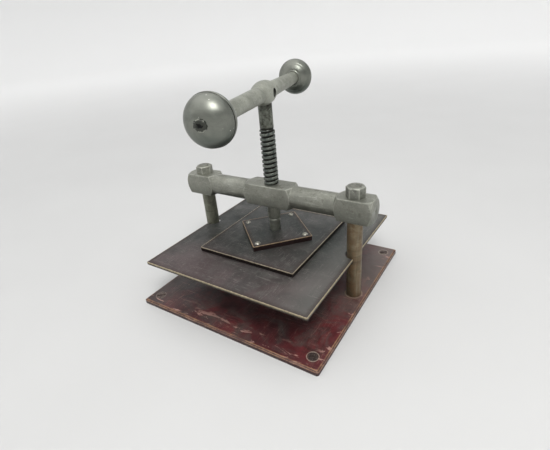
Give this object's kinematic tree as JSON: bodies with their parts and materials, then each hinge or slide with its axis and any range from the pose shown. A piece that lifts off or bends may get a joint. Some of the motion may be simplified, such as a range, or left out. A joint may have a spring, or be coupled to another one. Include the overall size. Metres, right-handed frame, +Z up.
{
  "type": "screw book press",
  "caption": "Bench-top screw press: flat base, two posts with a crosshead, sliding pressing plate, coarse screw and handle with two round knobs.",
  "frame": {"origin": "on the screw's axis, midway between the two posts, at the height of the base plate's underside", "axes": "+Z up along the screw, +X along the crosshead from the left post to the right post, +Y to the back"},
  "size_m": [0.369, 0.41, 0.3725],
  "materials": {
    "paint_burgundy": "worn semi-gloss burgundy paint",
    "plate_steel": "dark patina with worn edges",
    "post_steel": "brown patina, satin",
    "grey_steel": "dull brushed steel",
    "bright_steel": "polished steel",
    "oiled_steel": "dark oily steel",
    "dull_steel": "dull steel"
  },
  "bodies": {
    "frame": {"base_plate": "paint_burgundy", "base_screws": "dull_steel", "left_post": "post_steel", "right_post": "post_steel", "crosshead": "grey_steel", "left_nut": "grey_steel", "right_nut": "grey_steel"},
    "platen": {"platen_plate": "plate_steel", "middle_plate": "plate_steel", "plate_rivets": "dull_steel", "keeper_plate": "plate_steel", "keeper_screws": "bright_steel"},
    "screw": {"spindle": "oiled_steel", "thrust_collar": "dull_steel", "handle_bar": "grey_steel", "handle_pin": "dull_steel", "front_knob": "bright_steel", "front_knob_back": "bright_steel", "rear_knob": "bright_steel", "rear_knob_back": "bright_steel"}
  },
  "joints": [
    {"name": "platen_slide", "type": "slide", "parent": "frame", "child": "platen", "axis": [0, 0, 1], "range_m": [-0.074, 0.012]},
    {"name": "screw_turn", "type": "hinge", "parent": "platen", "child": "screw", "pos_m": [0, 0, 0.1], "axis": [0, 0, 1], "range_deg": [-3550, 575]}
  ],
  "couplings": [
    {"joint": "platen_slide", "follows": "screw_turn", "m_per_rad": 0.0011937}
  ]
}
